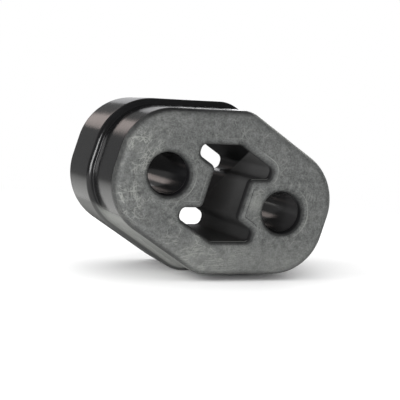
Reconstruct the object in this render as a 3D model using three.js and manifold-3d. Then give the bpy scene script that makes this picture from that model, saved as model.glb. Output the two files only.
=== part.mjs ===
// Exhaust hanger rubber: one moulded block with two bores for the hanger rods
// and an H-shaped slot between them. Millimetres, +Z up, front face towards -Y.
import * as THREE from 'three';
import { mergeVertices } from 'three/addons/utils/BufferGeometryUtils.js';
import Module from 'manifold-3d';

// Outer shape: a long hexagon, with its front half set in by a step all round
const HALF_LENGTH = 34.2;        // front half, centre to the flat short end
const HALF_WIDTH = 24.85;        // front half, centre to the unrounded peak of a long side
const SIDE_SLOPE = 16.4;         // degrees that a long side falls away from its peak
const END_CORNER_R = 15.8;       // between a long side and a short end
const PEAK_R = 8.7;              // in the middle of a long side
const FRONT_DEPTH = 19.1;        // front face to step
const REAR_DEPTH = 22.2;         // step to back face
const STEP = 1.85;               // how far the rear half stands out
const REAR_DRAFT = 1.8;          // degrees, the rear half narrows towards the back
const FRONT_EDGE_R = 2.7;
const STEP_EDGE_R = 1.3;
const STEP_ROOT_R = 0.25;
const REAR_EDGE_R = 2.4;

// Two bores for the hanger rods, each with a rounded lip at both faces
const BORE_SPACING = 37.5;
const BORE_D = 12.0;
const BORE_LIP_R = 2.0;

// H-shaped slot: its walls and the flanks of the two bosses follow the long sides
const SIDE_WALL = 9.95;          // rubber between the slot and a long side
const BOSS_NOSE = 13.1;          // bore axis to the end of its boss
const BOSS_WALL = 3.6;           // rubber between a bore and the flank of its boss
const ARM_SHORT = 7.25;          // arm end to the bore axis, along the length
const ARM_R = 1.7;
const SLOT_PEAK_R = 2.0;
const BOSS_FACE_R = 0.2;         // boss corner at the faces, outside the lip
const SLOT_LIP_R = 1.75;
const SLOT_DRAFT = 1.0;          // degrees, the slot widens behind the step

const DEPTH = FRONT_DEPTH + REAR_DEPTH;
const rad = THREE.MathUtils.degToRad;
const slope = Math.tan(rad(SIDE_SLOPE));

const corner = (x, y, r, steps) => ({ x, y, r, steps });

// Each corner's radius is kept within the straight sides it sits between
function fitted(corners) {
  const n = corners.length;
  const turn = corners.map((b, i) => {
    const a = corners[(i + n - 1) % n];
    const c = corners[(i + 1) % n];
    const d1 = new THREE.Vector2(b.x - a.x, b.y - a.y).normalize();
    const d2 = new THREE.Vector2(c.x - b.x, c.y - b.y).normalize();
    return { d1, d2, sign: Math.sign(d1.cross(d2)), angle: Math.acos(THREE.MathUtils.clamp(d1.dot(d2), -1, 1)) };
  });
  const cut = corners.map((b, i) => b.r * Math.tan(turn[i].angle / 2));
  const room = corners.map((b, i) => {
    const c = corners[(i + 1) % n];
    return Math.min(1, 0.98 * Math.hypot(c.x - b.x, c.y - b.y) / (cut[i] + cut[(i + 1) % n]));
  });
  return corners.map((b, i) => ({ ...b, ...turn[i], r: b.r * Math.min(room[i], room[(i + n - 1) % n]) }));
}

// The closed outline with rounded corners, moved outwards by off
function outline(corners, off) {
  const pts = [];
  for (const { x, y, r, steps, d1, sign, angle } of corners) {
    const cut = r * Math.tan(angle / 2);
    const cx = x - d1.x * cut - d1.y * sign * r;
    const cy = y - d1.y * cut + d1.x * sign * r;
    const start = Math.atan2(-d1.x * sign, d1.y * sign);
    for (let k = 0; k <= steps; k++) {
      const t = start + (sign * angle * k) / steps;
      pts.push([cx + (r + off * sign) * Math.cos(t), cy + (r + off * sign) * Math.sin(t)]);
    }
  }
  return pts;
}

// Stacked outlines joined into one closed solid; a level is [depth, offset]
function loft(shape, levels) {
  const corners = fitted(shape);
  const rings = levels.map(([w, off]) => outline(corners, off).map(([u, v]) => [u, w, v]));
  const n = rings[0].length;
  const index = [];
  for (let r = 0; r + 1 < rings.length; r++) {
    for (let k = 0; k < n; k++) {
      const a = r * n + k;
      const b = r * n + ((k + 1) % n);
      index.push(a, a + n, b, b, a + n, b + n);
    }
  }
  const flat = rings[0].map((p) => new THREE.Vector2(p[0], p[2]));
  const last = (rings.length - 1) * n;
  for (const [a, b, c] of THREE.ShapeUtils.triangulateShape(flat, [])) {
    index.push(a, b, c, last + a, last + c, last + b);
  }
  const g = new THREE.BufferGeometry();
  g.setAttribute('position', new THREE.Float32BufferAttribute(rings.flat(2), 3));
  g.setIndex(index);
  return g;
}

// A quarter round from a face inwards; dir is 1 where it swells, -1 where it closes in
function quarter(r, steps, atFace, dir) {
  return Array.from({ length: steps + 1 }, (_, k) => {
    const t = (Math.PI / 2) * (k / steps);
    return [r * (1 - Math.cos(t)), atFace + dir * r * Math.sin(t)];
  });
}

// Outer block, front to back
const endHalf = HALF_WIDTH - HALF_LENGTH * slope;
const blockShape = [
  corner(HALF_LENGTH, -endHalf, END_CORNER_R, 14),
  corner(HALF_LENGTH, endHalf, END_CORNER_R, 14),
  corner(0, HALF_WIDTH, PEAK_R, 8),
  corner(-HALF_LENGTH, endHalf, END_CORNER_R, 14),
  corner(-HALF_LENGTH, -endHalf, END_CORNER_R, 14),
  corner(0, -HALF_WIDTH, PEAK_R, 8),
];
const rootR = Math.min(STEP_ROOT_R, STEP / 2);
const stepEdgeR = Math.min(STEP_EDGE_R, STEP - rootR);
const backOff = STEP - (REAR_DEPTH - stepEdgeR - REAR_EDGE_R) * Math.tan(rad(REAR_DRAFT));
const block = loft(blockShape, [
  ...quarter(FRONT_EDGE_R, 7, -FRONT_EDGE_R, 1),
  ...quarter(rootR, 2, -rootR, 1).map(([w, off]) => [FRONT_DEPTH + off, w]),
  ...quarter(stepEdgeR, 5, STEP - stepEdgeR, 1).map(([w, off]) => [FRONT_DEPTH + w, off]),
  ...quarter(REAR_EDGE_R, 6, backOff - REAR_EDGE_R, 1).map(([w, off]) => [DEPTH - w, off]).reverse(),
]);

// Slot: two arms and two bosses, mirrored about both middle lines
const slotHalf = HALF_WIDTH - SIDE_WALL * Math.hypot(1, slope);
const gapHalf = BORE_SPACING / 2 - BOSS_NOSE;
const armEnd = BORE_SPACING / 2 - ARM_SHORT;
const flank = (u) => (BORE_D / 2 + BOSS_WALL) * Math.hypot(1, slope) - (BORE_SPACING / 2 - u) * slope;
const armLow = flank(armEnd);
const armHigh = slotHalf - armEnd * slope;
const bossR = BOSS_FACE_R + SLOT_LIP_R;
const slotShape = [
  corner(armEnd, armLow, ARM_R, 6),
  corner(armEnd, armHigh, ARM_R, 6),
  corner(0, slotHalf, SLOT_PEAK_R, 4),
  corner(-armEnd, armHigh, ARM_R, 6),
  corner(-armEnd, armLow, ARM_R, 6),
  corner(-gapHalf, flank(gapHalf), bossR, 5),
  corner(-gapHalf, -flank(gapHalf), bossR, 5),
  corner(-armEnd, -armLow, ARM_R, 6),
  corner(-armEnd, -armHigh, ARM_R, 6),
  corner(0, -slotHalf, SLOT_PEAK_R, 4),
  corner(armEnd, -armHigh, ARM_R, 6),
  corner(armEnd, -armLow, ARM_R, 6),
  corner(gapHalf, -flank(gapHalf), bossR, 5),
  corner(gapHalf, flank(gapHalf), bossR, 5),
];
const slotBack = REAR_DEPTH * Math.tan(rad(SLOT_DRAFT));
const slot = loft(slotShape, [
  [-SLOT_LIP_R, SLOT_LIP_R],
  ...quarter(SLOT_LIP_R, 6, SLOT_LIP_R, -1),
  [FRONT_DEPTH, 0],
  ...quarter(SLOT_LIP_R, 6, slotBack + SLOT_LIP_R, -1).map(([w, off]) => [DEPTH - w, off]).reverse(),
  [DEPTH + SLOT_LIP_R, slotBack + SLOT_LIP_R],
]);

// One bore, turned about its own axis
function bore(u) {
  const lip = quarter(BORE_LIP_R, 7, BORE_D / 2 + BORE_LIP_R, -1);
  const profile = [
    [-BORE_LIP_R, 0],
    [-BORE_LIP_R, BORE_D / 2 + BORE_LIP_R],
    ...lip,
    ...lip.map(([w, r]) => [DEPTH - w, r]).reverse(),
    [DEPTH + BORE_LIP_R, BORE_D / 2 + BORE_LIP_R],
    [DEPTH + BORE_LIP_R, 0],
  ];
  return new THREE.LatheGeometry(profile.map(([w, r]) => new THREE.Vector2(r, w)), 56).translate(u, 0, 0);
}

const wasm = await Module();
wasm.setup();
function solid(geometry) {
  const g = geometry.clone();
  g.deleteAttribute('normal');
  g.deleteAttribute('uv');
  const m = mergeVertices(g, 1e-5);
  return new wasm.Manifold(new wasm.Mesh({
    numProp: 3,
    vertProperties: Float32Array.from(m.attributes.position.array),
    triVerts: Uint32Array.from(m.index.array),
  }));
}

const moulded = solid(block)
  .subtract(solid(slot))
  .subtract(solid(bore(-BORE_SPACING / 2)))
  .subtract(solid(bore(BORE_SPACING / 2)))
  .getMesh();
const geometry = new THREE.BufferGeometry();
geometry.setAttribute('position', new THREE.Float32BufferAttribute(moulded.vertProperties, 3));
geometry.setIndex(Array.from(moulded.triVerts));

// It lies on one long flat: turned so that side is level, then set on the floor
geometry.rotateY(rad(SIDE_SLOPE));
geometry.computeBoundingBox();
const { min, max } = geometry.boundingBox;
geometry.translate(-(min.x + max.x) / 2, -(min.y + max.y) / 2, -min.z);
geometry.computeVertexNormals();

const rubber = new THREE.MeshStandardMaterial({ color: 0x2b2c2c, roughness: 0.6, metalness: 0 });
const hanger = new THREE.Mesh(geometry, rubber);
hanger.name = 'hanger_block';

const root = new THREE.Group();
root.name = 'exhaust_hanger_rubber';
root.add(hanger);
export default root;
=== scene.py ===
import math

import bmesh
import bpy
from mathutils import Matrix, Vector


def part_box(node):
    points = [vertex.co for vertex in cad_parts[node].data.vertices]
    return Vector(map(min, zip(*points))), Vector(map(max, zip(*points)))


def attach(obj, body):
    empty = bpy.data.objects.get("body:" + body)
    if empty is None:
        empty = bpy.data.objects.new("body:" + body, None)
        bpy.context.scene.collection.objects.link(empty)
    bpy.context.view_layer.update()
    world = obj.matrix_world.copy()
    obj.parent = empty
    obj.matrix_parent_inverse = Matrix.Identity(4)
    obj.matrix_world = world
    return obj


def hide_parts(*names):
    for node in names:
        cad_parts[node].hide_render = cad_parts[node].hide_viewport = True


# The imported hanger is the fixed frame: one node, hanger_block, on the body root.
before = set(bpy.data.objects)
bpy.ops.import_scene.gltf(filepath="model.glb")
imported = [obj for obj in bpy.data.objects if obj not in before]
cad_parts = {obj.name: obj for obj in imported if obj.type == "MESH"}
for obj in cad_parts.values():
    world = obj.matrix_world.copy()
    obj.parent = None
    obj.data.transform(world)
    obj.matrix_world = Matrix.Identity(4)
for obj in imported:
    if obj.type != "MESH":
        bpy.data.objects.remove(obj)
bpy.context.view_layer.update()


# Moulded block. One piece of black rubber pressed in a two-part mould: the front half is set in
# by a step all round, and the rear half narrows a little so that it comes out of the mould. The
# sizes are the CAD's, in metres, and it is drawn level: x along it, y front to back, z across.
HALF_LENGTH = 0.0342  # front half, centre to the flat short end
HALF_WIDTH = 0.02485  # front half, centre to the unrounded peak of a long side
SIDE_SLOPE = math.radians(16.4)  # a long side falls away from its peak
END_CORNER_R = 0.0158
PEAK_R = 0.0087
FRONT_DEPTH = 0.0191  # front face to step
REAR_DEPTH = 0.0222  # step to back face
STEP = 0.00185  # how far the rear half stands out
REAR_DRAFT = math.radians(1.8)
FRONT_EDGE_R = 0.0027
STEP_EDGE_R = 0.0013
STEP_ROOT_R = 0.00025
REAR_EDGE_R = 0.0024
HOLD = 0.0003  # a loop this far past a rounding keeps the wall beside it flat
DEPTH = FRONT_DEPTH + REAR_DEPTH
slope = math.tan(SIDE_SLOPE)
end_half = HALF_WIDTH - HALF_LENGTH * slope
block_corners = [
    (HALF_LENGTH, -end_half, END_CORNER_R, 26),
    (HALF_LENGTH, end_half, END_CORNER_R, 26),
    (0, HALF_WIDTH, PEAK_R, 14),
    (-HALF_LENGTH, end_half, END_CORNER_R, 26),
    (-HALF_LENGTH, -end_half, END_CORNER_R, 26),
    (0, -HALF_WIDTH, PEAK_R, 14),
]

# Marks on the points, which the finish reads
bm = bmesh.new()
inside = bm.verts.layers.float.new("inside")
in_slot = bm.verts.layers.float.new("in_slot")
crease = bm.verts.layers.float.new("crease")
# The shadowed and ledge highlight marks say where the finish paints shade on lips and a thin highlight on
# lips that face up.
shadowed = bm.verts.layers.float.new("shadowed")
ledge_highlight = bm.verts.layers.float.new("ledge_highlight")


def rounded_loop(corners, w, out):
    """A closed loop of edges at depth w, out beyond the drawn line. A spin turns each corner."""
    arcs = []
    n = len(corners)
    for i, (x, y, r, steps) in enumerate(corners):
        a, b, c = (Vector(corners[k % n][:2]) for k in (i - 1, i, i + 1))
        d1 = (b - a).normalized()
        d2 = (c - b).normalized()
        sign = 1 if d1.x * d2.y - d1.y * d2.x > 0 else -1
        turn = math.acos(max(-1, min(1, d1.dot(d2))))
        start = b - d1 * r * math.tan(turn / 2)
        side = Vector((-d1.y, d1.x)) * sign
        centre = start + side * r
        swing = r + out * sign
        first = bm.verts.new((centre.x - side.x * swing, w, centre.y - side.y * swing))
        spun = bmesh.ops.spin(
            bm,
            geom=[first],
            cent=(centre.x, w, centre.y),
            axis=(0, 1, 0),
            dvec=(0, 0, 0),
            angle=-sign * turn,
            steps=steps,
            use_merge=False,
            use_duplicate=False,
        )
        arcs.append((first, spun["geom_last"][0]))
    for i, (_, last) in enumerate(arcs):
        bm.edges.new((last, arcs[(i + 1) % n][0]))
    return loop_edges(arcs[0][0])


def loop_edges(vert):
    """All the edges of the closed loop that vert is on."""
    edges = []
    v = vert
    e = vert.link_edges[0]
    while e not in edges:
        edges.append(e)
        v = e.other_vert(v)
        e = next(x for x in v.link_edges if x != e)
    return edges


def skin(levels):
    """Walls through the outlines at each (corners, depth, out), as a list of the loops.

    The loops are bridged while spread out in depth, so that each meets its neighbour squarely,
    and are then moved to their real depths.
    """
    spread = 0.01
    loops = [rounded_loop(corners, spread * k, out) for k, (corners, _, out) in enumerate(levels)]
    for a, b in zip(loops, loops[1:]):
        bmesh.ops.bridge_loops(bm, edges=a + b)
    for k, loop in enumerate(loops):
        verts = list({v for e in loop for v in e.verts})
        bmesh.ops.translate(bm, verts=verts, vec=(0, levels[k][1] - spread * k, 0))
    return loops


def round_off(edges, radius, segments):
    """Rounds edges to a radius."""
    bmesh.ops.bevel(
        bm,
        geom=edges,
        offset=radius,
        offset_type="OFFSET",
        segments=segments,
        profile=0.5,
        affect="EDGES",
        clamp_overlap=False,
        material=-1,
    )


def mark(loop, layer):
    """Sets a mark to 1 on the points of a loop of edges."""
    for v in {v for e in loop for v in e.verts}:
        v[layer] = 1.0


back_out = STEP - (REAR_DEPTH - STEP_EDGE_R - REAR_EDGE_R) * math.tan(REAR_DRAFT)
outside_levels = [
    (0, -FRONT_EDGE_R - HOLD),
    (0, 0),
    (FRONT_EDGE_R + HOLD, 0),
    (FRONT_DEPTH - STEP_ROOT_R - HOLD, 0),
    (FRONT_DEPTH, 0),
    (FRONT_DEPTH, STEP),
    (FRONT_DEPTH + STEP_EDGE_R + HOLD, STEP),
    (DEPTH - REAR_EDGE_R - HOLD, back_out),
    (DEPTH, back_out),
    (DEPTH, back_out - REAR_EDGE_R - HOLD),
]
outside = skin([(block_corners, w, out) for w, out in outside_levels])
front_rims = [outside[0]]
back_rims = [outside[-1]]
front_edge, step_root, step_edge, rear_edge = (outside[k] for k in (1, 4, 5, 8))
round_off(front_edge, FRONT_EDGE_R, 10)
round_off(step_root, STEP_ROOT_R, 3)
round_off(step_edge, STEP_EDGE_R, 8)
round_off(rear_edge, REAR_EDGE_R, 8)

# Slot. The rubber between the bores is cut by an H-shaped slot, so that each bore sits in a boss
# that can swing. Its walls follow the long sides, its lips are rounded, and a fine seam runs
# round its front lip where the core of the mould met the face plate.
BORE_SPACING = 0.0375
BORE_D = 0.012
SIDE_WALL = 0.00995  # rubber between the slot and a long side
BOSS_NOSE = 0.0131  # bore axis to the end of its boss
BOSS_WALL = 0.0036  # rubber between a bore and the flank of its boss
ARM_SHORT = 0.00725  # arm end to the bore axis, along the length
ARM_R = 0.0017
SLOT_PEAK_R = 0.002
BOSS_FACE_R = 0.0002  # boss corner at the faces, outside the lip
SLOT_LIP_R = 0.00175
SLOT_DRAFT = math.radians(1.0)
SEAM_DEPTH = 0.00008
SEAM_WIDTH = 0.0002
RIM_CORNER_R = 0.0005  # added to the boss corners outside the seam, which would turn over
BACK_RIM = 0.00012  # flat ring kept outside the back lip
LIP_STEPS = 9
lean = math.hypot(1, slope)
slot_half = HALF_WIDTH - SIDE_WALL * lean
gap_half = BORE_SPACING / 2 - BOSS_NOSE
arm_end = BORE_SPACING / 2 - ARM_SHORT
flank_gap = (BORE_D / 2 + BOSS_WALL) * lean - (BORE_SPACING / 2 - gap_half) * slope
flank_end = (BORE_D / 2 + BOSS_WALL) * lean - (BORE_SPACING / 2 - arm_end) * slope
arm_high = slot_half - arm_end * slope
boss_r = BOSS_FACE_R + SLOT_LIP_R
slot_corners = [
    (arm_end, flank_end, ARM_R, 10),
    (arm_end, arm_high, ARM_R, 10),
    (0, slot_half, SLOT_PEAK_R, 8),
    (-arm_end, arm_high, ARM_R, 10),
    (-arm_end, flank_end, ARM_R, 10),
    (-gap_half, flank_gap, boss_r, 8),
    (-gap_half, -flank_gap, boss_r, 8),
    (-arm_end, -flank_end, ARM_R, 10),
    (-arm_end, -arm_high, ARM_R, 10),
    (0, -slot_half, SLOT_PEAK_R, 8),
    (arm_end, -arm_high, ARM_R, 10),
    (arm_end, -flank_end, ARM_R, 10),
    (gap_half, -flank_gap, boss_r, 8),
    (gap_half, flank_gap, boss_r, 8),
]


def wider_bosses(extra):
    """The slot's corners with a larger radius at the boss corners."""
    return [(x, y, r + extra if r == boss_r else r, steps) for x, y, r, steps in slot_corners]


def lip(face, radius, out, way):
    """(depth, out) levels of a rounded lip, from the wall to a face; way is -1 at the front."""
    turns = [math.pi / 2 * k / LIP_STEPS for k in range(LIP_STEPS + 1)]
    return [(face - way * radius * (1 - math.sin(t)), out + radius * (1 - math.cos(t))) for t in turns]


slot_back = REAR_DEPTH * math.tan(SLOT_DRAFT)
rim_corners = wider_bosses(RIM_CORNER_R)
back_corners = wider_bosses(slot_back)
front_lip = lip(SEAM_DEPTH, SLOT_LIP_R, 0, -1)[::-1]
back_lip = lip(DEPTH, SLOT_LIP_R, slot_back, 1)
front_levels = [(0, SLOT_LIP_R + SEAM_WIDTH), *front_lip, (SLOT_LIP_R + HOLD, 0), (FRONT_DEPTH, 0)]
back_levels = [(DEPTH - SLOT_LIP_R - HOLD, slot_back), *back_lip, (DEPTH, slot_back + SLOT_LIP_R + BACK_RIM)]
before = set(bm.verts)
slot_loops = skin(
    [(rim_corners, 0, SLOT_LIP_R + 2 * SEAM_WIDTH)]
    + [(slot_corners, w, out) for w, out in front_levels]
    + [(back_corners, w, out) for w, out in back_levels]
)
front_rims.append(slot_loops[0])
back_rims.append(slot_loops[-1])
for v in bm.verts:
    if v not in before:
        v[in_slot] = 1.0
mark(slot_loops[1], crease)
mark(slot_loops[LIP_STEPS], ledge_highlight)

# Bores. Two round holes through both bosses take the hanger rods. A core pin formed each, so it
# is straight, and it has a rounded lip at both faces with the same fine seam at the front.
BORE_LIP_R = 0.002
BORE_LIP_TRIM = 0.00005  # taken off the front lip, which ends at the bottom of the seam
for u in (-BORE_SPACING / 2, BORE_SPACING / 2):
    lip_end = BORE_D / 2 + BORE_LIP_R
    profile = [
        (0, lip_end + 2 * SEAM_WIDTH),
        (0, lip_end + SEAM_WIDTH),
        (SEAM_DEPTH, lip_end),
        (SEAM_DEPTH, BORE_D / 2),
        (BORE_LIP_R + HOLD, BORE_D / 2),
        (DEPTH - BORE_LIP_R - HOLD, BORE_D / 2),
        (DEPTH, BORE_D / 2),
        (DEPTH, lip_end + HOLD),
    ]
    line = [bm.verts.new((u + r, w, 0)) for w, r in profile]
    edges = [bm.edges.new(pair) for pair in zip(line, line[1:])]
    old = set(bm.verts) - set(line)
    bmesh.ops.spin(
        bm,
        geom=line + edges,
        cent=(u, 0, 0),
        axis=(0, 1, 0),
        dvec=(0, 0, 0),
        angle=math.tau,
        steps=72,
        use_merge=True,
        use_duplicate=False,
    )
    spun = {e for v in bm.verts if v not in old for e in v.link_edges}

    def hoop(w, r):
        """The edges of the bore's ring at depth w and radius r."""

        def on_ring(v):
            return abs(v.co.y - w) < 1e-6 and abs(math.hypot(v.co.x - u, v.co.z) - r) < 1e-5

        return [e for e in spun if e.is_valid and all(on_ring(v) for v in e.verts)]

    front_rims.append(hoop(0, lip_end + 2 * SEAM_WIDTH))
    back_rims.append(hoop(DEPTH, lip_end + HOLD))
    mark(hoop(0, lip_end + SEAM_WIDTH), crease)
    round_off(hoop(SEAM_DEPTH, BORE_D / 2), BORE_LIP_R - BORE_LIP_TRIM, LIP_STEPS)
    round_off(hoop(DEPTH, BORE_D / 2), BORE_LIP_R, LIP_STEPS)
for v in bm.verts:
    if v not in before:
        v[inside] = 1.0

# Faces. Two flat faces, pressed by the plates of the mould, close the block between its edge and
# the three openings. It lies on one long flat, so the drawn block is turned by its side's slope.
SHADE_SIDE = Vector((-0.6, 0.8))  # lips that face up and to the left get painted shade
HIGHLIGHT_LIMIT = 0.8  # the painted highlight line lies only where a lip faces up at least this much
for rims, out in ((front_rims, -1), (back_rims, 1)):
    edges = [e for rim in rims for e in rim]
    bmesh.ops.triangle_fill(bm, edges=edges, use_beauty=True, use_dissolve=False, normal=(0, out, 0))
bmesh.ops.remove_doubles(bm, verts=bm.verts, dist=1e-6)
bmesh.ops.recalc_face_normals(bm, faces=bm.faces)
low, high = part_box("hanger_block")
centre_height = (low[2] + high[2]) / 2
place = Matrix.Translation((0, low[1], centre_height)) @ Matrix.Rotation(SIDE_SLOPE, 4, "Y")
bmesh.ops.transform(bm, matrix=place, verts=bm.verts)
bm.normal_update()
# Painted shade and highlight: how far each lip is painted into shade follows the way it faces, and the
# highlight line is kept only where a lip faces up.
for v in bm.verts:
    across = Vector((v.normal.x, v.normal.z))
    if v[inside] and across.length > 0.02:
        across.normalize()
        v[shadowed] = 0.5 + 0.5 * across.dot(SHADE_SIDE)
        v[ledge_highlight] *= max(0, (across.y - HIGHLIGHT_LIMIT) / (1 - HIGHLIGHT_LIMIT))
for f in bm.faces:
    f.smooth = True
mesh = bpy.data.meshes.new("moulded_block")
bm.to_mesh(mesh)
bm.free()
block = bpy.data.objects.new("moulded_block", mesh)
bpy.context.scene.collection.objects.link(block)

# Finish. The face plates leave a matte grey bloom with talc, scuffs and fine hairlines on both
# faces and their rounded edges. The walls, which slid out of the mould, are dark, smooth and
# shiny. Everything is in one material, told apart by depth, place and the marks on the points.
# The colour also carries painted shade and painted highlights, marked where they are mixed in below.
DARK = (0.014, 0.014, 0.015)
GREY = (0.180, 0.186, 0.182)
TALC_AND_HIGHLIGHT = (0.42, 0.43, 0.405)
rubber = bpy.data.materials.new("moulded_rubber")
rubber.use_nodes = True
shade = rubber.node_tree.nodes["Principled BSDF"]


def node(tree, kind, inputs=(), **settings):
    """A node with its settings, and with each input linked or given a value."""
    made = tree.nodes.new(kind)
    for name, value in settings.items():
        setattr(made, name, value)
    for name, value in dict(inputs).items():
        if isinstance(value, bpy.types.NodeSocket):
            tree.links.new(value, made.inputs[name])
        else:
            made.inputs[name].default_value = value
    return made


def in_rubber(kind, inputs=(), **settings):
    """A node in the rubber's own material."""
    return node(rubber.node_tree, kind, inputs, **settings)


def calc(operation, a, b=0.0, c=0.0):
    return in_rubber("ShaderNodeMath", {0: a, 1: b, 2: c}, operation=operation).outputs[0]


def plus(a, *more):
    for b in more:
        a = calc("ADD", a, b)
    return a


def minus(a, b):
    return calc("SUBTRACT", a, b)


def times(a, *more):
    for b in more:
        a = calc("MULTIPLY", a, b)
    return a


def most(a, *more):
    for b in more:
        a = calc("MAXIMUM", a, b)
    return a


def least(a, b):
    return calc("MINIMUM", a, b)


def scaled(value, factor, base):
    """value times factor, plus base."""
    return calc("MULTIPLY_ADD", value, factor, base)


def ramp(value, low, high, to_low=0.0, to_high=1.0):
    """value eased from low to high into to_low to to_high."""
    ends = {"From Min": low, "From Max": high, "To Min": to_low, "To Max": to_high}
    made = in_rubber("ShaderNodeMapRange", {"Value": value, **ends}, interpolation_type="SMOOTHSTEP")
    return made.outputs["Result"]


def mix_colour(amount, a, b):
    """Colour a, going over to colour b as amount goes from 0 to 1."""
    made = in_rubber("ShaderNodeMix", data_type="RGBA")
    for socket, value in ((made.inputs[0], amount), (made.inputs[6], a), (made.inputs[7], b)):
        if isinstance(value, bpy.types.NodeSocket):
            rubber.node_tree.links.new(value, socket)
        else:
            socket.default_value = (*value, 1) if isinstance(value, tuple) else value
    return made.outputs[2]


def toned(colour, factor):
    """A colour made lighter or darker by a factor."""
    return tuple(c * factor for c in colour)


coords = in_rubber("ShaderNodeTexCoord").outputs["Object"]


def noise(where, scale, detail, rough, warp=0.0):
    """Soft random pattern from 0 to 1."""
    inputs = {"Vector": where, "Scale": scale, "Detail": detail, "Roughness": rough, "Distortion": warp}
    return in_rubber("ShaderNodeTexNoise", inputs).outputs["Fac"]


def speckle(scale, detail, rough, stretch=(1, 1, 1), turn=(0, 0, 0), warp=0.0):
    """Noise over the block, stretched and turned."""
    where = in_rubber("ShaderNodeMapping", {"Vector": coords, "Scale": stretch, "Rotation": turn})
    return noise(where.outputs[0], scale, detail, rough, warp)


def hairline(pattern, level, half_width):
    """Thin curved lines where a soft pattern passes through a level."""
    return ramp(calc("ABSOLUTE", minus(pattern, level)), 0, half_width, 1, 0)


def near(x, z, reach):
    """1 at a point of the front face, falling to 0 at reach."""
    away = in_rubber("ShaderNodeVectorMath", {0: coords, 1: (x, -DEPTH / 2, z)}, operation="DISTANCE")
    return ramp(away.outputs["Value"], 0, reach, 1, 0)


def beyond(direction, low, high):
    """0 to 1 as a point passes from low to high along a direction."""
    along = in_rubber("ShaderNodeVectorMath", {0: coords, 1: direction}, operation="DOT_PRODUCT")
    return ramp(along.outputs["Value"], low, high)


def read_mark(name):
    """The mark of that name on the points, from 0 to 1."""
    return in_rubber("ShaderNodeAttribute", attribute_name=name).outputs["Fac"]


# Where a point lies: its depth from the front face, and whether a face plate pressed it
depth = plus(in_rubber("ShaderNodeSeparateXYZ", {"Vector": coords}).outputs["Y"], DEPTH / 2)
from_face = least(depth, minus(DEPTH, depth))
matte_front = ramp(depth, FRONT_EDGE_R - 0.0006, FRONT_EDGE_R - 0.0001, 1, 0)
matte_back = ramp(depth, DEPTH - REAR_EDGE_R + 0.0001, DEPTH - REAR_EDGE_R + 0.0006)
matte = most(matte_front, matte_back)
is_inside = read_mark("inside")
is_slot = read_mark("in_slot")
is_bore = minus(is_inside, is_slot)
is_outside = minus(1, is_inside)

# Sides of the block. under_side points out of the sloping long side at the lower left, and raised
# is how far the block's middle lies along it, so that the distances below count from the middle.
under_side = Vector((-math.sin(2 * SIDE_SLOPE), 0, -math.cos(2 * SIDE_SLOPE)))
raised = -under_side.z * centre_height
left_half = beyond((-1, 0, 0), 0.004, 0.014)
low_part = beyond((0, 0, -1), -0.014, -0.006)
top_edge = beyond((0, 0, 1), 0.044, 0.050)
high_side = beyond(-under_side, 0.0226 + raised, 0.0235 + raised)

# Talc and scuffs: clouds and grain, loose hairlines, strokes wiped round the upper bore, and
# strokes wiped along the lower edge, with painted light mixed into the talc as well. A spot is an x and a z
# on the front face, and a reach.
RUBBED_SPOTS = [(-0.0300, 0.0245, 0.010), (-0.0275, 0.0365, 0.010), (-0.0080, 0.0070, 0.016)]
BOSS_TALC_SPOT = (0.0092, 0.0228, 0.0042)
clouds = speckle(130, 4, 0.6)
mottle = speckle(620, 3, 0.6)
grain = speckle(1900, 3, 0.65)
patchy = ramp(speckle(260, 3, 0.6, (1, 1, 1), (0.3, 0, 0)), 0.40, 0.62)
long_hairs = hairline(speckle(110, 2, 0.5, (1, 1, 1.6), (0, 0.5, 0), 0.6), 0.5, 0.015)
curved_hairs = hairline(speckle(150, 1, 0.5, (1.5, 1, 0.7), (0, -0.7, 0.4), 0.3), 0.47, 0.013)
short_hairs = hairline(speckle(260, 1, 0.5, (1, 1, 0.5), (0, 1.1, 0), 0.2), 0.53, 0.017)
loose = times(most(long_hairs, curved_hairs, short_hairs), scaled(low_part, -0.65, 1))
bore_out = BORE_SPACING / 2
upper_bore = (-bore_out * math.cos(SIDE_SLOPE), 0, bore_out * math.sin(SIDE_SLOPE) + centre_height)
from_bore = in_rubber("ShaderNodeVectorMath", {0: coords, 1: upper_bore}, operation="SUBTRACT")
bore_axes = in_rubber("ShaderNodeSeparateXYZ", {"Vector": from_bore.outputs[0]}).outputs
bore_x = bore_axes["X"]
bore_z = bore_axes["Z"]
reach = calc("SQRT", plus(times(bore_x, bore_x), times(bore_z, bore_z)))
turn = calc("ARCTAN2", bore_z, calc("ABSOLUTE", bore_x))
round_bore = {"X": times(reach, 900), "Y": times(turn, 2.2), "Z": times(clouds, 3)}
wiped_round = noise(in_rubber("ShaderNodeCombineXYZ", round_bore).outputs[0], 1.0, 3.0, 0.6)
wiped_along = speckle(1, 3, 0.6, (150, 1, 1900), (0, -0.10, 0))
strokes = most(
    times(hairline(wiped_round, 0.52, 0.045), left_half),
    times(hairline(wiped_along, 0.52, 0.055), low_part),
)
rubbed = most(*(near(*spot) for spot in RUBBED_SPOTS))
bloom = times(ramp(clouds, 0.30, 0.75, 0.0, 0.26), scaled(rubbed, 0.9, 0.22))
lines = times(most(loose, times(strokes, 0.85)), patchy, scaled(rubbed, 1.1, 0.42))
# Painted highlight: a pale line on the rounding of the upper long side, which the edge shade then leaves
# out.
edge_highlight = times(is_outside, high_side, 0.8)
boss_talc = times(near(*BOSS_TALC_SPOT), 0.55)
# The talc amount also carries painted light: the lower part of the face is painted lighter, and the painted
# highlight along the upper long side is added in.
talc_and_light = least(plus(bloom, lines, edge_highlight, boss_talc, times(low_part, 0.19)), 1.0)
grit = plus(times(ramp(mottle, 0.3, 0.7), 0.45), times(ramp(grain, 0.32, 0.68), 0.55))
worn_and_lit = mix_colour(talc_and_light, mix_colour(grit, toned(GREY, 1.50), toned(GREY, 0.58)), TALC_AND_HIGHLIGHT)
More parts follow.
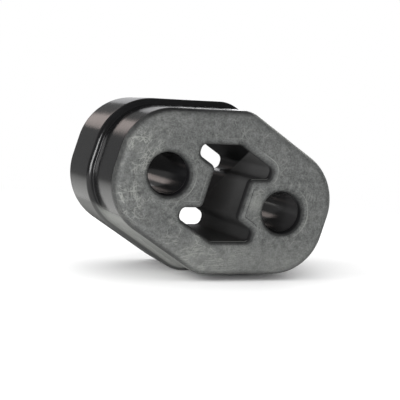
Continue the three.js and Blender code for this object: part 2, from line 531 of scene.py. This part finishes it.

# Edges and lips: painted shade, darker as they turn away from the face and into the openings, most of
# all on the shaded side of an opening and along the top edge, and partly worn bloom on the outer edges.
# The seam is clear at a few spots, and a painted highlight, a thin light line, lies on lips that face up.
BOSS_NOSE_SPOT = (0.0078, 0.0215, 0.0062)
CLEAR_SEAM_SPOTS = [(0.0140, 0.0340, 0.008), (-0.0105, 0.0270, 0.009), (0.0260, 0.0190, 0.011)]
lip_shade = times(is_inside, scaled(read_mark("shadowed"), 0.85, 0.15))
on_lip = times(lip_shade, ramp(from_face, SEAM_DEPTH / 2, 0.0004))
# Painted shade: a lip darkens as it turns in toward an opening.
down_lip = times(is_inside, ramp(from_face, 0.0003, 0.0015))
# The rounded outer edges are darker, partly worn bloom and partly painted shade, which is strongest along
# the top edge.
edge_shade = plus(times(top_edge, 1.1), times(left_half, 0.8), 1)
on_edge = times(edge_shade, minus(is_outside, edge_highlight), ramp(from_face, 0.00005, 0.0012))
darker = plus(times(down_lip, 0.4), times(on_lip, 0.80), times(on_edge, 0.34))
lipped = mix_colour(least(darker, 1), worn_and_lit, DARK)
on_nose = times(is_slot, calc("GREATER_THAN", near(*BOSS_NOSE_SPOT), 0.02))
clear = most(on_nose, *(near(*spot) for spot in CLEAR_SEAM_SPOTS))
seam = times(read_mark("crease"), plus(times(clear, 0.65), times(patchy, 0.25)))
seamed = mix_colour(seam, lipped, mix_colour(on_nose, TALC_AND_HIGHLIGHT, DARK))
# Painted highlight: the thin light line on lips that face up, in the talc colour.
face = mix_colour(times(read_mark("ledge_highlight"), 0.8), seamed, TALC_AND_HIGHLIGHT)

# Walls: dark and shiny outside; in the slot, painted shadow on the deep part past a slanted line and the
# front part painted lighter, more so higher up; dull and darker down the bores, the right bore painted
# lighter; and on the long side that it rests beside, pale on the front half and darker on the rear half.
SHADOW_PLANE = (-0.6561, 0.3487, 0.6693)  # square to the slanted plane where the painted shadow begins
SHADOW_PLANE_AT = 0.01425
SHADOW_BLUR = 0.0002
SLOT_LIT_LOW = (0.048, 0.048, 0.048)
SLOT_LIT_HIGH = (0.110, 0.110, 0.110)
RIGHT_BORE_LIT = (0.058, 0.057, 0.058)
UNDERSIDE_FRONT_TONE = (0.48, 0.49, 0.465)
UNDERSIDE_REAR_TONE = (0.09, 0.0915, 0.0885)
# Painted shadow: slot walls past the slanted plane stay dark, and those in front of it are painted lighter.
beyond_shadow_plane = beyond(SHADOW_PLANE, SHADOW_PLANE_AT - SHADOW_BLUR, SHADOW_PLANE_AT + SHADOW_BLUR)
slot_shadowed = times(is_slot, beyond_shadow_plane)
slot_lit = times(is_slot, minus(1, beyond_shadow_plane))
# Painted light: the right bore's wall is painted lighter than the left bore's.
right_bore_lit = times(is_bore, beyond((1, 0, 0), 0, 0.002))
# The long side it rests beside: much paler on the front half, darker on the rear half.
underside = times(is_outside, beyond(under_side, 0.0222 - raised, 0.0236 - raised))
plain_wall = mix_colour(ramp(clouds, 0.4, 0.7, 0, 0.5), DARK, toned(DARK, 1.5))
# Painted light: the front of the slot is painted lighter higher up.
slot_lit_tone = mix_colour(beyond((0, 0, 1), 0.018, 0.034), SLOT_LIT_LOW, SLOT_LIT_HIGH)
past_step = ramp(depth, FRONT_DEPTH - 0.0002, FRONT_DEPTH + 0.0002)
slot_wall = mix_colour(slot_lit, plain_wall, slot_lit_tone)
bore_wall = mix_colour(right_bore_lit, slot_wall, RIGHT_BORE_LIT)
walls = mix_colour(underside, bore_wall, mix_colour(past_step, UNDERSIDE_FRONT_TONE, UNDERSIDE_REAR_TONE))

# Mould lines: a thin dark line where each face plate met the walls, wider at the back. With them
# go the roughness, the dullness down the openings and the fine relief.
front_off = calc("ABSOLUTE", minus(depth, FRONT_EDGE_R - 0.0001))
back_off = calc("ABSOLUTE", minus(depth, DEPTH - REAR_EDGE_R + 0.0003))
front_line = ramp(front_off, 0.00008, 0.0002, 1, 0)
back_line = ramp(back_off, 0.0005, 0.0007, 1, 0)
mould_line = times(is_outside, most(front_line, back_line))
colour = mix_colour(times(mould_line, 0.75), mix_colour(matte, walls, face), DARK)
dry = plus(times(slot_shadowed, 0.25), times(underside, 0.25), times(slot_lit, 0.65))
wall_rough = plus(times(mottle, 0.08), dry, 0.11)
face_rough = plus(times(mottle, 0.2), times(matte, 0.5))
bore_dull = times(is_bore, ramp(depth, 0.010, 0.026, 0.43, -0.5))
dull = most(plus(bore_dull, times(slot_shadowed, 0.41)), times(mould_line, 0.4))
relief = plus(
    times(grain, scaled(matte, 0.00006, 0.000004)),
    times(mottle, scaled(matte, 0.00006, 0.00001)),
)
bump = in_rubber("ShaderNodeBump", {"Height": relief, "Strength": 1.0, "Distance": 1.0})
rubber.node_tree.links.new(colour, shade.inputs["Base Color"])
rubber.node_tree.links.new(most(face_rough, wall_rough), shade.inputs["Roughness"])
rubber.node_tree.links.new(minus(0.5, dull), shade.inputs["Specular IOR Level"])
rubber.node_tree.links.new(bump.outputs["Normal"], shade.inputs["Normal"])
shade.inputs["IOR"].default_value = 1.5
mesh.materials.append(rubber)
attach(block, "root")
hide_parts("hanger_block")

# Camera. A long lens a little above the hanger and to its left, with its picture turned a
# little, as fitted to the photograph's outlines.
CAMERA_SPOT = (-0.138205, -0.333927, 0.059808)
CAMERA_YAW = math.radians(-22.502)  # looking along +Y at 0
CAMERA_DROP = math.radians(6.073)  # looking down
CAMERA_ROLL = math.radians(3.423)
lens = bpy.data.cameras.new("photo_camera")
lens.lens = 108.133
lens.sensor_width = 36.0
lens.clip_start = 0.01
lens.clip_end = 10
camera = bpy.data.objects.new("photo_camera", lens)
facing = Matrix.Rotation(CAMERA_YAW, 4, "Z") @ Matrix.Rotation(math.pi / 2 - CAMERA_DROP, 4, "X")
camera.matrix_world = Matrix.Translation(CAMERA_SPOT) @ facing @ Matrix.Rotation(CAMERA_ROLL, 4, "Z")
bpy.context.scene.collection.objects.link(camera)
bpy.context.scene.camera = camera


# Table and cards. The hanger lies on white paper, which shows white to the camera and keeps the
# shadow. Glowing and dark cards round it are seen only in the rubber's reflections: windows and a
# dark wall behind, a pale mat on the left, a dark mat on the right and a dark card behind a bore.
def turned(spot, direction):
    """The place of a thing at spot, turned so that its own Z points along direction."""
    return Matrix.Translation(spot) @ direction.to_track_quat("Z", "Y").to_matrix().to_4x4()


def card(name, width, height, middle, direction, colour, glow=None):
    """A flat stage card of plain paper, or one that glows in reflections only."""
    bm = bmesh.new()
    bmesh.ops.create_grid(bm, x_segments=1, y_segments=1, size=0.5)
    bmesh.ops.scale(bm, verts=bm.verts, vec=(width, height, 1))
    bmesh.ops.transform(bm, verts=bm.verts, matrix=turned(middle, Vector(direction)))
    sheet = bpy.data.meshes.new(name)
    bm.to_mesh(sheet)
    bm.free()
    made = bpy.data.objects.new(name, sheet)
    bpy.context.scene.collection.objects.link(made)
    paper = bpy.data.materials.new(name + "_paper")
    paper.use_nodes = True
    inputs = paper.node_tree.nodes["Principled BSDF"].inputs
    inputs["Base Color"].default_value = (*colour, 1)
    inputs["Roughness"].default_value = 0.9
    inputs["Specular IOR Level"].default_value = 0
    if glow is not None:
        inputs["Base Color"].default_value = (0, 0, 0, 1)
        inputs["Emission Color"].default_value = (*colour, 1)
        inputs["Emission Strength"].default_value = glow
        made.visible_camera = False
        made.visible_diffuse = False
        made.visible_transmission = False
        made.visible_shadow = False
    sheet.materials.append(paper)
    return made


def camera_level(tree, other, to_camera):
    """The value other for most rays, and to_camera for the rays that the camera sees."""
    seen = node(tree, "ShaderNodeLightPath").outputs["Is Camera Ray"]
    made = node(tree, "ShaderNodeMapRange", {"Value": seen, "To Min": other, "To Max": to_camera})
    return made.outputs["Result"]


FLAT = (0, 0, 1)
FRONT = (0, -1, 0)
WHITE = (1, 1, 1)
COOL = (0.98, 0.98, 1.0)
MAT_HEIGHT = 0.0003
PAPER_FADE = (0.10, 0.22)  # from the middle, where the paper goes over to plain white
MAT_FADE = (0.09, 0.26)  # front to back, where the pale mat goes darker
floor = card("table", 6, 6, (0, 0, 0), FLAT, (0.8, 0.8, 0.8))
table = floor.data.materials[0].node_tree
paper = table.nodes["Principled BSDF"]
table.links.new(camera_level(table, 0.4, 1.0), paper.inputs["Base Color"])
table_coords = node(table, "ShaderNodeTexCoord").outputs["Object"]
away = node(table, "ShaderNodeVectorMath", {0: table_coords}, operation="LENGTH").outputs["Value"]
ends = {"Value": away, "From Min": PAPER_FADE[0], "From Max": PAPER_FADE[1]}
edge = node(table, "ShaderNodeMapRange", ends, interpolation_type="SMOOTHSTEP").outputs["Result"]
faded = {0: edge, 1: camera_level(table, 0.0, 1.0)}
fade = node(table, "ShaderNodeMath", faded, operation="MULTIPLY").outputs[0]
white = node(table, "ShaderNodeEmission").outputs[0]
both = node(table, "ShaderNodeMixShader", {0: fade, 1: paper.outputs[0], 2: white}).outputs[0]
table.links.new(both, table.nodes["Material Output"].inputs["Surface"])

pale_mat = card("pale_mat", 1.5, 0.45, (-0.78, 0.125, MAT_HEIGHT), FLAT, (1, 1, 0.98), 0.6)
mat = pale_mat.data.materials[0].node_tree
mat_coords = node(mat, "ShaderNodeTexCoord").outputs["Object"]
back = node(mat, "ShaderNodeSeparateXYZ", {"Vector": mat_coords}).outputs["Y"]
ends = {"Value": back, "From Min": MAT_FADE[0], "From Max": MAT_FADE[1], "To Min": 0.95, "To Max": 0.2}
glow = node(mat, "ShaderNodeMapRange", ends).outputs["Result"]
mat.links.new(glow, mat.nodes["Principled BSDF"].inputs["Emission Strength"])
# The dark card and the dark mat stand in for the table's shade behind the hanger: a painted shadow, seen
# only in reflections.
card("dark_card", 0.018, 0.012, (-0.0195, 0.030, 0.0255), FRONT, WHITE, 0.04)
card("dark_mat", 0.6, 0.33, (0.27, 0.187, MAT_HEIGHT), FLAT, WHITE, 0.10)
card("dark_wall", 3, 2, (0, 0.352, 0.98), FRONT, WHITE, 0.20)
card("left_window", 0.066, 0.15, (-0.075, 0.350, 0.185), FRONT, (1.0, 0.88, 0.84), 1.3)
card("right_window", 0.11, 0.21, (0.091, 0.350, 0.150), FRONT, COOL, 0.8)
card("far_right_window", 0.30, 0.25, (0.276, 0.348, 0.130), FRONT, COOL, 3.0)


# Light. A broad soft lamp in front on the left, a softer one behind on the right and a rim lamp
# for the hanger's far edges, with a dim even room. Four soft lamps from above are linked to the
# table alone, which they whiten and give its soft shadow.
def lamp(name, size, spot, aim, power):
    data = bpy.data.lights.new(name, "AREA")
    data.shape = "RECTANGLE"
    data.size, data.size_y = size
    data.energy = power
    made = bpy.data.objects.new(name, data)
    made.matrix_world = turned(spot, Vector(spot) - Vector(aim))
    bpy.context.scene.collection.objects.link(made)
    return made


def light_only(name, lit):
    """A collection with one object, for the lamps that light nothing else."""
    made = bpy.data.collections.new(name)
    made.objects.link(lit)
    return made


lamp("front_light", (0.7, 0.4), (-0.70, -0.85, 0.10), (0, 0, 0.02), 9.6)
lamp("back_light", (0.6, 0.5), (0.70, 0.75, 0.25), (0, 0, 0.02), 5)
rim = lamp("rim_light", (0.4, 0.4), (0.90, 0.32, 0.33), (0, 0, 0.03), 8)
rim.visible_glossy = False
rim.light_linking.receiver_collection = light_only("block_only", block)
only_table = light_only("table_only", floor)
for name, size, spot, power in [
    ("table_light", (2, 2), (0, 0, 0.8), 13),
    ("table_spot", (0.3, 0.3), (0, 0, 0.8), 0.4),
    ("table_light_left", (0.9, 0.7), (-0.9, 0, 0.35), 6.1),
    ("table_light_front", (0.8, 0.6), (-0.5, -0.8, 0.35), 3.3),
]:
    lamp(name, size, spot, (0, 0, 0), power).light_linking.receiver_collection = only_table
world = bpy.data.worlds.new("studio")
bpy.context.scene.world = world
world.use_nodes = True
room = world.node_tree
background = room.nodes["Background"].inputs
background["Color"].default_value = (1, 1, 1, 1)
room.links.new(camera_level(room, 0.08, 1.0), background["Strength"])

bpy.context.scene.view_settings.view_transform = "Standard"
